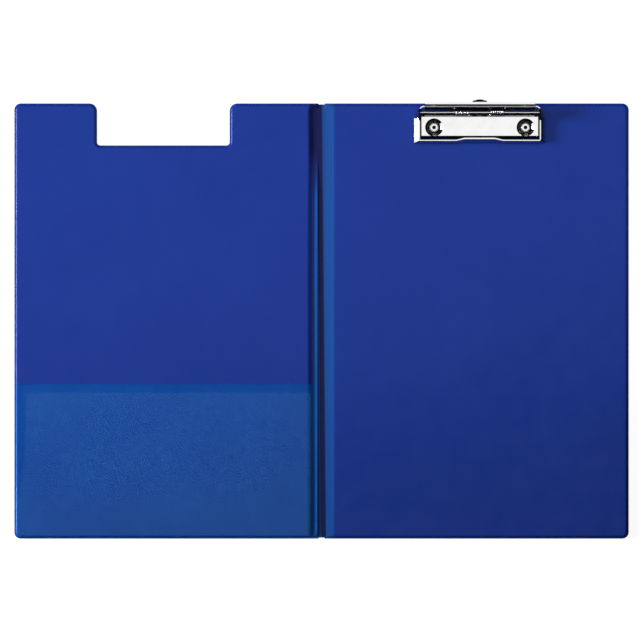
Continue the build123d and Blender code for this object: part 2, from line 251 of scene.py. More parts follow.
def white_world():
    """White where it is seen, and dim where it lights things."""
    world = bpy.data.worlds.new("white_room")
    world.use_nodes = True
    nodes, links = world.node_tree.nodes, world.node_tree.links
    nodes.clear()
    dim = shader(nodes, "Background", Color=(1, 1, 1, 1), Strength=ambient)
    seen = shader(nodes, "Background", Color=(1, 1, 1, 1), Strength=seen_white)
    mix = mixed_shaders(nodes, links, seen_directly(nodes, links), dim, seen)
    out = nodes.new("ShaderNodeOutputWorld")
    links.new(mix.outputs[0], out.inputs["Surface"])
    bpy.context.scene.world = world


def card_material():
    """Dull black card."""
    material, nodes, links = empty_material("black_card")
    to_surface(nodes, links, shader(nodes, "BsdfDiffuse", Color=card_colour))
    return material


floor_mesh = bpy.data.meshes.new("floor")
floor_corners = [(x * floor_half, y * floor_half, floor_height)
                 for x, y in ((-1, -1), (1, -1), (1, 1), (-1, 1))]
floor_mesh.from_pydata(floor_corners, [], [(0, 1, 2, 3)])
floor = bpy.data.objects.new("floor", floor_mesh)
bpy.context.collection.objects.link(floor)
floor.data.materials.append(pale_floor_material())
card_ring.data.materials.append(card_material())
white_world()
print("floor, m:", 2 * floor_half, "world:", bpy.context.scene.world.name)

# %% [markdown]
# ## Blue PVC
# The sleeve is calendered PVC film: an even blue all through, glossy, with a fine leather-like
# grain that is only seen close by. A picture could carry that grain, but noise textures carry it
# at any distance and need no file. The film's own coordinates are stored with each mesh in
# metres, so the grain does not swim when the folder is closed.

# %% Helpers for grain, zones and bumps
def sheet_place(nodes):
    """The sheet's own coordinates, in metres."""
    place = nodes.new("ShaderNodeUVMap")
    place.uv_map = "metres"
    return place.outputs[0]


def noise_at(nodes, links, place, scale, detail):
    """Noise from 0 to 1: scale is how many grains there are to a metre."""
    grain = nodes.new("ShaderNodeTexNoise")
    grain.inputs["Scale"].default_value = scale
    grain.inputs["Detail"].default_value = detail
    links.new(place, grain.inputs["Vector"])
    return grain.outputs["Fac"]


def sheet_noise(nodes, links, scale, detail):
    """Noise in the sheet's own metres."""
    return noise_at(nodes, links, sheet_place(nodes), scale, detail)


def spread(nodes, links, value, low, high, start=0.3, end=0.7):
    """Stretch a noise value over a range of numbers."""
    span = nodes.new("ShaderNodeMapRange")
    span.inputs["From Min"].default_value = start
    span.inputs["From Max"].default_value = end
    span.inputs["To Min"].default_value = low
    span.inputs["To Max"].default_value = high
    links.new(value, span.inputs["Value"])
    return span.outputs[0]


def mixed(nodes, links, share, under, over):
    """Lay a colour over another by a share from 0 to 1: each is a colour or a node's output."""
    mix = nodes.new("ShaderNodeMix")
    mix.data_type = "RGBA"
    links.new(share, mix.inputs["Factor"])
    for socket, colour in zip((mix.inputs[6], mix.inputs[7]), (under, over)):
        if isinstance(colour, tuple):
            socket.default_value = (*colour, 1)
        else:
            links.new(colour, socket)
    return mix.outputs[2]


def in_corners(nodes, links, reach, nearest, farthest):
    """1 deep in a corner and 0 in the open, by how much lies within reach of a point."""
    corner = nodes.new("ShaderNodeAmbientOcclusion")
    corner.samples = 8
    corner.inputs["Distance"].default_value = reach
    return spread(nodes, links, corner.outputs["AO"], 1, 0, nearest, farthest)


def raised(nodes, links, height, depth, strength=1.0):
    """A bump from a height value, depth in metres."""
    bump = nodes.new("ShaderNodeBump")
    bump.inputs["Strength"].default_value = strength
    bump.inputs["Distance"].default_value = depth
    links.new(height, bump.inputs["Height"])
    return bump


def band(nodes, links, value, start, end, soft):
    """1 where a value lies between start and end in millimetres, with soft sides."""
    rise = spread(nodes, links, value, 0, 1, (start - soft) * MM, (start + soft) * MM)
    fall = spread(nodes, links, value, 1, 0, (end - soft) * MM, (end + soft) * MM)
    return maths(nodes, links, "MULTIPLY", rise, fall)


# %% [markdown]
# The blue is not quite the same everywhere. Beside the weld strip the foil hangs free, with air
# below it, and reads paler: this zone is partly the free foil's own tone and partly painted light
# on the slopes that face the side lamp, so it is left out near the top of the cover's side. In the
# strip two foils are fused and read darker, and that zone also carries painted shade, leaning
# across the strip along its length. The slope on the cover's side near the top edge gets painted
# shade. These are plain zones with soft sides, placed by the film's coordinates. Narrow corners
# get painted shade in the colour, where an ambient occlusion node finds something close.

# %% Blue PVC
cloud_grain = (14, 4)
rub_grain = (60, 5)
leather_grain = (1400, 2)
leather_bump = (0.02 * MM, 0.35)
wave_grain = (25, 2)
wave_bump = (0.25 * MM, 0.3)
foil_roughness = (0.2, 0.32)
page_blues = ((0.008, 0.034, 0.276), (0.0095, 0.038, 0.294))
# paler zone: partly the free foil's own tone, partly painted light on slopes that face the side
# lamp
free_and_lit_blue = (0.0095, 0.062, 0.27)
free_and_lit_span = (-6.9, 9.8, 0.5)
cover_side = (-2, -1)
top_part = (95, 135)
# darker zone over the weld strip: partly the fused foils' own tone, partly painted shade that leans
# across the strip along its length
fused_and_shaded_blue = (0.004, 0.008, 0.075)
fused_and_shaded_span = (-1.9, 1.9, 0.3)
fused_and_shaded_lean = 0.0095
# painted shade on the cover's slope near the top edge
painted_slope_shade = (0.008, 0.01, 0.1)
shaded_slope = (-9.6, -1.0, 0.8)
# painted shade in narrow corners and valleys, where an ambient occlusion node finds something close
painted_corner_blue = (0.003, 0.006, 0.03)
foil_corner_shade = (5 * MM, 0.4, 0.96)


def blue_pvc():
    """Glossy blue foil with a grain, its zones beside the spine, partly painted light and shade,
    and painted shade in its corners.
    """
    material, nodes, links = empty_material("blue_pvc")
    skin = shader(nodes, "BsdfPrincipled", IOR=1.5, Specular_IOR_Level=0.13)
    cloud = sheet_noise(nodes, links, *cloud_grain)
    shade = mixed(nodes, links, spread(nodes, links, cloud, 0, 1), *page_blues)
    parts = nodes.new("ShaderNodeSeparateXYZ")
    links.new(sheet_place(nodes), parts.inputs[0])
    across, along = parts.outputs[0], parts.outputs[1]
    skewed = maths(nodes, links, "MULTIPLY_ADD", along, fused_and_shaded_lean, across)
    on_cover = spread(nodes, links, across, 1, 0, cover_side[0] * MM, cover_side[1] * MM)
    near_top = spread(nodes, links, along, 0, 1, top_part[0] * MM, top_part[1] * MM)
    # painted light, partly: the paler zone is left out near the top of the cover's side, which lies
    # in shade
    shaded_cover_top = maths(nodes, links, "MULTIPLY", on_cover, near_top)
    free = band(nodes, links, across, *free_and_lit_span)
    free = maths(nodes, links, "SUBTRACT", free, shaded_cover_top, clamp=True)
    # painted shade on the cover's slope near the top edge
    slope = maths(nodes, links, "MULTIPLY", band(nodes, links, across, *shaded_slope), near_top)
    # partly painted shade: the fused strip's darker zone, leaning across the spine
    fused_and_shaded = band(nodes, links, skewed, *fused_and_shaded_span)
    # painted shade in the corners
    corner = in_corners(nodes, links, *foil_corner_shade)
    zones = ((free, free_and_lit_blue), (slope, painted_slope_shade), (fused_and_shaded, fused_and_shaded_blue), (corner, painted_corner_blue))
    for share, zone_blue in zones:
        shade = mixed(nodes, links, share, shade, zone_blue)
    links.new(shade, skin.inputs["Base Color"])
    rub = sheet_noise(nodes, links, *rub_grain)
    links.new(spread(nodes, links, rub, *foil_roughness), skin.inputs["Roughness"])
    grain = raised(nodes, links, sheet_noise(nodes, links, *leather_grain), *leather_bump)
    wave = raised(nodes, links, sheet_noise(nodes, links, *wave_grain), *wave_bump)
    links.new(grain.outputs[0], wave.inputs["Normal"])
    links.new(wave.outputs[0], skin.inputs["Normal"])
    to_surface(nodes, links, skin)
    return material


# %% [markdown]
# The pocket's film is clear with a little haze. Its shine grows when it is seen aslant. A Fresnel
# node would do that too, but on the back of so thin a film it turns to a dark mirror, so the
# shine is worked out from how far the surface is turned away.

# %% Clear film
film_grain = (22, 4)
film_tints = ((0.01, 0.33, 0.95), (0.02, 0.37, 1.0))
film_pass = (0.78, 1, 1, 1)
film_haze = (0.05, 0.066)
film_bump = (0.3 * MM, 0.4)
film_shine = (0.007, 0.4)
shine_power = 5


def clear_film():
    """Clear film with a faint blue haze, and a shine that grows when it is seen aslant."""
    material, nodes, links = empty_material("clear_film")
    haze = shader(nodes, "BsdfPrincipled", Roughness=0.3, Specular_IOR_Level=0.3)
    cloud = sheet_noise(nodes, links, *film_grain)
    tint = mixed(nodes, links, spread(nodes, links, cloud, 0, 1), *film_tints)
    links.new(tint, haze.inputs["Base Color"])
    clear = shader(nodes, "BsdfTransparent", Color=film_pass)
    body = mixed_shaders(nodes, links, spread(nodes, links, cloud, *film_haze), clear, haze)
    gloss = shader(nodes, "BsdfGlossy", Roughness=0.12)
    wave = raised(nodes, links, sheet_noise(nodes, links, *wave_grain), *film_bump)
    links.new(wave.outputs[0], gloss.inputs["Normal"])
    turned = nodes.new("ShaderNodeLayerWeight")
    steep = maths(nodes, links, "POWER", turned.outputs["Facing"], shine_power)
    share = spread(nodes, links, steep, *film_shine, 0, 1)
    to_surface(nodes, links, mixed_shaders(nodes, links, share, body, gloss))
    return material


sleeve_blue = blue_pvc()
pocket_clear = clear_film()
print("sleeve and pocket finishes:", sleeve_blue.name, pocket_clear.name)

# %% [markdown]
# ## The sleeve
# Each panel is a greyboard between two PVC foils that are welded together round its edge. The
# weld leaves a thin flat rim, and the foil rises from it over the board's edge with a soft
# shoulder. Towards the spine there is no board, so the foil sags into a shallow valley. Such a
# foil could be made by squashing a cube, but its plan has a notch and round corners, so it is
# meshed from its outline: lines at chosen distances inside the edge, lines along the spine and
# points between them go through a Delaunay triangulation, and a height is worked out for each
# point.

# %% Sizes of the sleeve
half_height = 170.0
panel_width = 240.0
panel_corner = 5.0
notch_middle = 123.6
notch_half = 51.8
notch_floor = 137.2
notch_shoulder = 6.0
notch_corner = 2.5
middle_plane = 1.35
foil = 0.35
fold_line = 2.35
strip_recess = 0.8
clip_x = 123.6
rivet_side = 35.7
rivet_inset = 18.8
rivet_places = [(clip_x + side * rivet_side, half_height - rivet_inset) for side in (-1, 1)]
rivet_hole = 2.15
strip_step = (fold_line - 0.3, fold_line + 0.4)


def smooth(start, end, x):
    """0 before start, 1 after end, and a smooth step between."""
    t = min(1.0, max(0.0, (x - start) / (end - start)))
    return t * t * (3 - 2 * t)


def end_line(x):
    """Half the sleeve's height at a distance from the spine's middle: the weld strip is shorter."""
    return half_height - strip_recess * (1 - smooth(*strip_step, x))


def inset(x, y, notched):
    """How far a point of the panel lies inside its outer edge."""
    qx = x - (panel_width - panel_corner)
    qy = abs(y) - (end_line(x) - panel_corner)
    depth = panel_corner - math.hypot(max(qx, 0), max(qy, 0)) - min(max(qx, qy), 0)
    if not notched:
        return depth
    side = abs(x - notch_middle)
    qx = side - (notch_half - notch_corner)
    qy = notch_floor + notch_corner - y
    depth = min(depth, math.hypot(max(qx, 0), max(qy, 0)) - notch_corner + min(max(qx, qy), 0))
    past_wall = notch_shoulder - (side - notch_half)
    past_top = y - (half_height - notch_shoulder)
    if past_wall > 0 and past_top > 0 and side > notch_half:
        depth = min(depth, notch_shoulder - math.hypot(past_wall, past_top))
    return depth


# %% [markdown]
# The same outline is needed at several distances inside the edge: at the rim, on the weld and up
# the shoulder. Offsetting a finished outline is hard at its corners. Here every arc's radius
# grows or shrinks with the distance instead, so all lines keep the same number of points.

# %% Outline of a panel at a distance inside its edge
arc_steps = 8
least_corner = 0.4
strip_end_rows = (0, 1.9, 2.1, 2.3, 2.5, 2.7, 2.9)


def arc(middle, radius, start, end):
    """Points of an arc, angles in degrees."""
    angles = [math.radians(start + (end - start) * k / arc_steps) for k in range(arc_steps + 1)]
    return [(middle[0] + radius * math.cos(a), middle[1] + radius * math.sin(a)) for a in angles]


def notch_line(depth):
    """Round shoulders, straight walls and floor of the notch, from its far side to the spine's."""
    top = half_height - depth
    shoulder = max(notch_shoulder - depth, least_corner)
    hollow = notch_corner + depth
    half = []
    wall = notch_half + depth
    half += arc((wall + shoulder, top - shoulder), shoulder, 90, 180)
    half += arc((wall - hollow, notch_floor - depth + hollow), hollow, 0, -90)
    far = [(notch_middle + x, y) for x, y in half]
    return far + [(2 * notch_middle - x, y) for x, y in reversed(far)]


def spine_end(depth, side):
    """The step from the weld strip's end to the panel's edge."""
    return [(x, side * (end_line(x) - depth)) for x in strip_end_rows]


def panel_line(depth, notched):
    """From the spine's lower end round the outer edges to its upper end."""
    top = half_height - depth
    corner = max(panel_corner - depth, least_corner)
    right = panel_width - depth
    points = spine_end(depth, -1)
    points += arc((right - corner, -top + corner), corner, -90, 0)
    points += arc((right - corner, top - corner), corner, 0, 90)
    if notched:
        points += notch_line(depth)
    return points + spine_end(depth, 1)[::-1]


print("outline points:", len(panel_line(0, True)))

# %% [markdown]
# The spine is what the light shows best. On the back panel's side the foil climbs steadily from
# the weld strip to the page. On the cover's side it falls steeply off the page into a trough and
# climbs again to a ridge beside the strip, which lies in the ridge's shadow. Towards the top edge
# the ridge fades into one dark slope. Each side is a row of heights with a smooth curve through
# them, and a few long creases wander along it.

# %% Heights of the foil
edge_depths = [0, 0.12, 0.6, 1.15, 1.3, 1.5, 1.75, 2.1, 2.6, 3.4]
edge_heights = [-0.1, 0, 0, 0, 0.14, 0.5, 0.8, 0.93, 0.985, 1.0]
strip_top = 1.1
back_slope = [(0, 1.1), (1.2, 1.1), (2.2, 1.1), (2.9, 1.16), (4, 1.3), (5, 1.5), (6, 1.72),
              (7, 1.95), (8, 2.2), (9, 2.46), (9.8, 2.62), (10.6, 2.69), (11.5, 2.7), (300, 2.7)]
cover_trough = [(0, 1.1), (1.2, 1.1), (2.2, 1.12), (2.6, 1.45), (3.0, 1.84), (3.5, 1.92),
                (4.2, 1.74), (5, 1.42), (6, 1.08), (6.8, 0.92), (7.4, 0.96), (8.0, 1.2),
                (8.8, 1.75), (9.8, 2.4), (10.6, 2.64), (11.4, 2.7), (300, 2.7)]
cover_slope = [(0, 1.1), (1.2, 1.1), (2.2, 1.06), (2.6, 1.02), (3.0, 0.99), (3.5, 0.97),
               (4.2, 0.98), (5, 1.02), (6, 1.12), (6.8, 1.25), (7.4, 1.4), (8.0, 1.62),
               (8.8, 1.98), (9.8, 2.44), (10.6, 2.65), (11.4, 2.7), (300, 2.7)]
# side, distance from the strip's middle, half width, height and seed of each crease
creases = [(1, 4.7, 0.38, 0.13, 0.0), (1, 6.7, 0.3, 0.12, 1.7), (1, 9.3, 0.4, 0.1, 3.1),
           (-1, 5.2, 0.4, 0.1, 4.4), (-1, 9.6, 0.5, 0.05, 2.4), (-1, 0.9, 0.25, 0.05, 6.0),
           (1, 0.6, 0.3, 0.04, 8.0)]
valley_lines = [0, 0.02, 0.4, 0.8, 1.2, 1.6, 2, 2.2, 2.4, 2.6, 2.8, 3, 3.25, 3.5, 3.8, 4.1, 4.4,
                4.7, 5, 5.3, 5.6, 6, 6.4, 6.8, 7.1, 7.4, 7.8, 8.2, 8.6, 9, 9.3, 9.6, 10, 10.4,
                10.8, 11.4, 12, 13]
wander_width = 0.35
wander_starts = (2.6, 4.5)
wander_pace, drift_pace, fade_pace = 0.013, 0.011, 0.02
wander_seed, fade_seed = 3.0, 7
crease_drift = 0.4
crease_fade = (0.5, 1.1)
end_rise = (1.0, 6.0)
strip_drop = 0.6
strip_side = (1.8, 4.0)
strip_lift = (2.3, 3.6)
shoulder_fades = (2.2, 9.5)


def curve_through(points, x):
    """Height at x on a smooth curve through a row of points."""
    k = 0
    while k < len(points) - 2 and x > points[k + 1][0]:
        k += 1
    (x0, z0), (x1, z1) = points[k], points[k + 1]
    xa, za = points[max(k - 1, 0)]
    xb, zb = points[min(k + 2, len(points) - 1)]
    t = (x - x0) / (x1 - x0)
    slope_a = (z1 - za) / (x1 - xa) * (x1 - x0)
    slope_b = (zb - z0) / (xb - x0) * (x1 - x0)
    return (z0 * (2 * t ** 3 - 3 * t * t + 1) + slope_a * (t ** 3 - 2 * t * t + t)
            + z1 * (3 * t * t - 2 * t ** 3) + slope_b * (t ** 3 - t * t))


def step_between(depths, heights, x):
    """A value read from a row of points, straight between them."""
    for a, b, p, q in zip(depths, depths[1:], heights, heights[1:]):
        if x <= b:
            return p + (q - p) * max(0.0, (x - a) / (b - a))
    return heights[-1]


def slow_noise(y, pace, seed):
    """Noise from -1 to 1 that changes slowly along the spine."""
    return noise.noise(Vector((pace * y, seed, 0)))


def spine_height(x, y, side):
    """Top of the inner foil near the spine, with its long creases."""
    wander = wander_width * slow_noise(y, wander_pace, wander_seed + side)
    wander *= smooth(*wander_starts, x)
    if side > 0:
        z = curve_through(back_slope, x + wander)
    else:
        share = 1 - smooth(*top_part, y)
        z = share * curve_through(cover_trough, x + wander)
        z += (1 - share) * curve_through(cover_slope, x + wander)
    for which, middle, width, height, seed in creases:
        if which == side:
            drift = crease_drift * slow_noise(y, drift_pace, seed)
            fade = crease_fade[0] + crease_fade[1] * slow_noise(y, fade_pace, fade_seed + seed)
            fade = max(0.0, fade)
            z += height * fade * math.exp(-((x - middle - drift) / width) ** 2)
    return z


print("ridge and page, mm:", round(spine_height(3.5, 0, -1), 2), round(spine_height(12, 0, -1), 2))


def inner_height(x, y, notched, side):
    """Top of the inner foil: welded rim, soft shoulder, flat page, and the fall to the spine."""
    rise = step_between(edge_depths, edge_heights, inset(x, y, notched))
    rim = middle_plane + foil
    page = rim + rise
    if x > valley_lines[-1]:
        return page
    low = spine_height(x, y, side)
    let = smooth(*end_rise, end_line(x) - abs(y))
    edge = middle_plane - strip_drop * (1 - smooth(*strip_side, x))
    edge += foil + rise * smooth(*shoulder_fades, x)
    return edge + (low - edge) * let


def outer_height(x, y, notched, side):
    """Underside of the outer foil, which lies on the table and comes up to the weld strip."""
    rise = step_between(edge_depths, edge_heights, inset(x, y, notched))
    if x > valley_lines[-1]:
        return middle_plane - foil - rise
    lift = (strip_top - 2 * foil) * (1 - smooth(*strip_lift, x))
    return lift + (middle_plane - foil) * (1 - max(0.0, rise)) * smooth(*strip_side, x)


# %% [markdown]
# A thin sheet is a closed mesh too: a face on top, one below it and a wall round the edge. All
# the sheets here are made by one function. It triangulates the plan, drops the triangles that lie
# outside the outline, lifts every point twice and closes the open edges between the two faces.

# %% Make a closed sheet from its plan
page_step = 12.0
valley_step = 5.0
page_start = 16.0
page_room = (24.0, 6.0)
page_margin = 4.5
hole_steps = 24
snap = 1e-5


def sheet_mesh(name, plan, side, lift, thick, inside, material):
    """A closed sheet from a plan, a height function and a thickness; side -1 is the cover's."""
    flat = geometry.delaunay_2d_cdt(*plan, [], 0, snap)
    bm = bmesh.new()
    metres = bm.loops.layers.uv.new("metres")
    tops, backs = [], []
    for p in flat[0]:
        z = lift(p.x, p.y)
        tops.append(bm.verts.new((side * p.x * MM, p.y * MM, z * MM)))
        backs.append(bm.verts.new((side * p.x * MM, p.y * MM, (z + thick) * MM)))
    for face in flat[2]:
        cx = sum(flat[0][i].x for i in face) / len(face)
        cy = sum(flat[0][i].y for i in face) / len(face)
        if inside(cx, cy):
            bm.faces.new([tops[i] for i in face])
            bm.faces.new([backs[i] for i in reversed(face)])
    pair = dict(zip(tops, backs))
    for edge in [e for e in bm.edges if e.is_boundary and e.verts[0] in pair]:
        a, b = edge.verts
        bm.faces.new((b, a, pair[a], pair[b]))
    bmesh.ops.delete(bm, geom=[v for v in bm.verts if not v.link_faces], context="VERTS")
    bmesh.ops.recalc_face_normals(bm, faces=bm.faces)
    for face in bm.faces:
        face.smooth = any(abs(v.co.x) > nearly_zero for v in face.verts)
        for loop in face.loops:
            loop[metres].uv = (loop.vert.co.x, loop.vert.co.y)
    mesh = bpy.data.meshes.new(name)
    bm.to_mesh(mesh)
    bm.free()
    piece = bpy.data.objects.new(name, mesh)
    bpy.context.collection.objects.link(piece)
    mesh.materials.append(material)
    print(name, "points:", len(mesh.vertices))
    return piece


# %% [markdown]
# A foil's plan has lines wherever its height changes fast: round the edge, over the shoulder and
# along the spine. The flat page needs only a few loose points. The page foil also has two rivet
# holes.

# %% Plan of a foil
def add_line(plan, row, closed=False):
    """Add a row of points and the lines between them to a plan."""
    points, lines = plan
    first = len(points)
    points.extend(Vector(p) for p in row)
    lines.extend((first + k, first + k + 1) for k in range(len(row) - 1))
    if closed:
        lines.append((len(points) - 1, first))


def foil_plan(notched, holes):
    """Corner points and lines of a foil's plan, for the triangulation."""
    plan = ([], [])
    for depth in edge_depths:
        add_line(plan, panel_line(depth, notched))
    rows = int(2 * half_height / valley_step)
    for x in valley_lines:
        add_line(plan, [(x, end_line(x) * (2 * k / rows - 1)) for k in range(rows + 1)])
    wide, high = panel_width - page_room[0], half_height - page_room[1]
    across = int(wide / page_step)
    along = int(2 * high / page_step)
    for i in range(across + 1):
        for j in range(along + 1):
            x = page_start + wide * i / across
            y = high * (2 * j / along - 1)
            if inset(x, y, notched) > page_margin:
                plan[0].append(Vector((x, y)))
    turns = [2 * math.pi * k / hole_steps for k in range(hole_steps)]
    spokes = [(rivet_hole * math.cos(a), rivet_hole * math.sin(a)) for a in turns]
    for hx, hy in holes:
        add_line(plan, [(hx + x, hy + y) for x, y in spokes], closed=True)
    return plan


def foil_mesh(name, notched, side, height, holes=()):
    """Inner or outer foil of a panel: the outer one is given by its underside."""
    def inside(cx, cy):
        in_hole = any(math.hypot(cx - hx, cy - hy) < rivet_hole for hx, hy in holes)
        return inset(cx, cy, notched) >= 0 and cx >= 0 and not in_hole

    def lift(x, y):
        return height(x, y, notched, side)

    thick = foil if height is outer_height else -foil
    plan = foil_plan(notched, holes)
    return sheet_mesh(name, plan, side, lift, thick, inside, sleeve_blue)


# %% [markdown]
# A foil crosses the fold, from its panel onto the weld strip. Both foils of a side end in the
# middle of the strip, where the two sides meet. The solids they stand for are hidden. The area
# that each foil was cut to, half of the open folder with the notch left out of the cover's, is
# worked out and printed.

# %% Four foils
back_inner = foil_mesh("back_page_foil", False, 1, inner_height, rivet_places)
back_outer = foil_mesh("back_outside_foil", False, 1, outer_height)
cover_inner = foil_mesh("cover_page_foil", True, -1, inner_height)
cover_outer = foil_mesh("cover_outside_foil", True, -1, outer_height)
foil_rides = ((back_inner, "back", 1, ("back_inner_foil", "spine_inner_foil")),
              (back_outer, "back", 1, ("back_outer_foil", "spine_outer_foil")),
              (cover_inner, "cover", -1, ("cover_inner_foil",)),
              (cover_outer, "cover", -1, ("cover_outer_foil",)))
for piece, body, side, nodes in foil_rides:
    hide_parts(*nodes)
    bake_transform(piece)


def cut_area(notched):
    """Area of a panel's foil before it is drawn over the board, in square metres."""
    edge = panel_line(0, notched)
    edge.append((0, edge[-1][1]))
    edge.append((0, edge[0][1]))
    crosses = [ax * by - bx * ay for (ax, ay), (bx, by) in zip(edge, edge[1:] + edge[:1])]
    return abs(sum(crosses)) / 2 * MM * MM


drawn_over = ((back_inner, False, "back_board"), (back_outer, False, "back_board"),
              (cover_inner, True, "cover_board"), (cover_outer, True, "cover_board"))
for piece, notched, board in drawn_over:
    cut_area(notched)
print("cut area of the foils, m2:", round(cut_area(False), 5), round(cut_area(True), 5))

# %% [markdown]
# ## Pocket
# A clear film is welded over the lower third of the cover along three edges and is open at the
# top. It is so thin that only its haze, its shine and its edges show. It follows the foil below
# it at a small distance, and its open edge bows up a little. It throws no shadow, because so
# clear a film hardly would, while its haze shader would throw a full one.

# %% Pocket film
pocket_edge = -49.2
pocket_start = 3.1
pocket_gap = 0.3
pocket_bow = 0.12
bow_reach = (25, 30)
pocket_rows = 14
pocket_foot = 3.4
pocket_seam = 0.1
slope_columns = [pocket_start, 3.6, 4.2, 5, 6, 7, 8, 9, 10, 12]
flat_columns = [14 + 12 * k for k in range(19)]
film = 0.2


def pocket_height(x, y):
    """Top of the film: welded to the rim at three sides, and a little above the page elsewhere."""
    rise = step_between(edge_depths, edge_heights, inset(x, y, False))
    slope = smooth(pocket_start + pocket_seam, shoulder_fades[1], x)
    bow = pocket_bow * smooth(pocket_edge - bow_reach[0], pocket_edge, y)
    bow *= smooth(0, bow_reach[1], min(x, panel_width - x))
    above = edge_heights[-1] + pocket_gap + bow
    return middle_plane + foil + film + above * max(0.0, min(rise, edge_heights[-1])) * slope


def pocket_plan():
    """Rows round the welded edges, along the open edge and up the film."""
    plan = ([], [])
    for depth in edge_depths:
        start = (pocket_start, depth - half_height)
        end = (panel_width - depth, pocket_edge)
        corner = [p for p in panel_line(depth, False) if p[1] < 0 and p[0] > panel_width / 2]
        add_line(plan, [start] + corner + [end])
    columns = slope_columns + flat_columns
    open_edge = columns + [panel_width - d for d in reversed(edge_depths)]
    add_line(plan, [(x, pocket_edge) for x in open_edge])
    reach = -half_height + pocket_foot - pocket_edge
    for x in columns:
        down = [(x, pocket_edge + reach * j / pocket_rows) for j in range(pocket_rows + 1)]
        add_line(plan, down + [(x, -half_height + d) for d in reversed(edge_depths[:-1])])
    return plan


def in_pocket(cx, cy):
    """Whether a point of the plan lies on the film."""
    return inset(cx, cy, False) >= 0 and cy <= pocket_edge and cx >= pocket_start


pocket = sheet_mesh("pocket_film", pocket_plan(), -1, pocket_height, -film, in_pocket, pocket_clear)
pocket.visible_shadow = False
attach(pocket, "cover")
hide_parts("cover_pocket")

# %% [markdown]
# ## Bright steel
# The clip is pressed from sheet steel and nickel plated. Plating is a near perfect mirror with
# faint rolling marks and hairlines, which show as a soft spread of the highlights. Shade is
# painted into the steel's colour in its corners, where an ambient occlusion node finds
# something close, and on the jaw right down to its foot. The floor round each rivet is dished a
# little, which a bump adds to the flat floor of the solid.

# %% Steel shaders
dish_floor = (3.0 * MM, 5.0 * MM)
dish_tilt = math.radians(15)
# painted shade: the colour the steel goes to in its corners
painted_corner_shade = (0.01, 0.01, 0.012)
corner_reach = 3 * MM
colour_spread = 0.06
stain_grain = (120, 4)
drawn_grain = (900, 3)
mark_strength = 0.4


def vector_maths(nodes, links, operation, source, vector=None):
    """A vector maths node on another node's output."""
    node = nodes.new("ShaderNodeVectorMath")
    node.operation = operation
    links.new(source, node.inputs[0])
    if vector:
        node.inputs[1].default_value = vector
    return node


def dished(nodes, links, place, axis):
    """Height of a bowl's floor that rises away from a rivet's axis."""
    rivet = (axis[0] * MM, axis[1] * MM, 0)
    away = vector_maths(nodes, links, "SUBTRACT", place, rivet)
    flat = vector_maths(nodes, links, "MULTIPLY", away.outputs[0], (1, 1, 0))
    reach = vector_maths(nodes, links, "LENGTH", flat.outputs[0]).outputs["Value"]
    rise = (dish_floor[1] - dish_floor[0]) * math.tan(dish_tilt)
    return spread(nodes, links, reach, 0, rise, *dish_floor)


def steel(name, colour, roughness, marks, stretch=(1, 1, 1), dishes=(), shaded_corners=(0.3, 0.75)):
    """Plated or bare steel with painted shade in its corners; roughness is (least, most), marks its
    hairlines' depth in metres.
    """
    material, nodes, links = empty_material(name)
    metal = shader(nodes, "BsdfPrincipled", Metallic=1.0)
    place = nodes.new("ShaderNodeTexCoord").outputs["Object"]
    drawn = nodes.new("ShaderNodeMapping")
    drawn.inputs["Scale"].default_value = stretch
    links.new(place, drawn.inputs["Vector"])
    cloud = noise_at(nodes, links, place, *stain_grain)
    line = noise_at(nodes, links, drawn.outputs[0], *drawn_grain)
    dark = tuple(c * (1 - colour_spread) for c in colour)
    plating = mixed(nodes, links, spread(nodes, links, cloud, 0, 1), dark, colour)
    # painted shade in the steel's corners, found by ambient occlusion
    corner = in_corners(nodes, links, corner_reach, *shaded_corners)
    links.new(mixed(nodes, links, corner, plating, painted_corner_shade), metal.inputs["Base Color"])
    links.new(spread(nodes, links, cloud, *roughness), metal.inputs["Roughness"])
    normal = raised(nodes, links, line, marks, mark_strength)
    for axis in dishes:
        bowl = raised(nodes, links, dished(nodes, links, place, axis), 1.0)
        links.new(normal.outputs[0], bowl.inputs["Normal"])
        normal = bowl
    links.new(normal.outputs[0], metal.inputs["Normal"])
    to_surface(nodes, links, metal)
    return material


nickel = ((0.93, 0.935, 0.93), (0.05, 0.11), 0.004 * MM, (1, 12, 12))
base_plated = steel("plated_base", *nickel, dishes=rivet_places)
plated = steel("plated_steel", *nickel)
# the jaw's copy gets painted shade further from its corners, down to its foot
jaw_plated_shaded = steel("plated_jaw_shaded", *nickel, shaded_corners=(0.6, 0.94))
wire_steel = steel("spring_steel", (0.62, 0.63, 0.65), (0.18, 0.3), 0.006 * MM)
rivet_steel = steel("rivet_steel", (0.9, 0.9, 0.9), (0.08, 0.16), 0.006 * MM)
# painted dark: the tab's near black stands in for its shade and its dark reflection
tab_painted_dark = steel("tab_steel_painted_dark", (0.012, 0.014, 0.015), (0.3, 0.45), 0.01 * MM)
steels = (base_plated, plated, jaw_plated_shaded, wire_steel, rivet_steel, tab_painted_dark)
print("steels:", [m.name for m in steels])

# %% [markdown]
# The boards are hidden in the sleeve, but they are part of the folder and get the finish of plain
# pulp board: dull, with short fibres that noise at a small scale stands for.

# %% Greyboard
fibre_grain = (800, 5)
fibre_bump = (0.08 * MM, 0.5)
board_greys = ((0.22, 0.2, 0.18), (0.34, 0.32, 0.29))


def greyboard():
    """Dull grey pulp board with fibres."""
    material, nodes, links = empty_material("greyboard")
    pulp = shader(nodes, "BsdfPrincipled", Roughness=0.9)
    place = nodes.new("ShaderNodeTexCoord").outputs["Object"]
    fibre = noise_at(nodes, links, place, *fibre_grain)
    grey = mixed(nodes, links, spread(nodes, links, fibre, 0, 1), *board_greys)
    links.new(grey, pulp.inputs["Base Color"])
    links.new(raised(nodes, links, fibre, *fibre_bump).outputs[0], pulp.inputs["Normal"])
    to_surface(nodes, links, pulp)
    return material


pulp_board = greyboard()

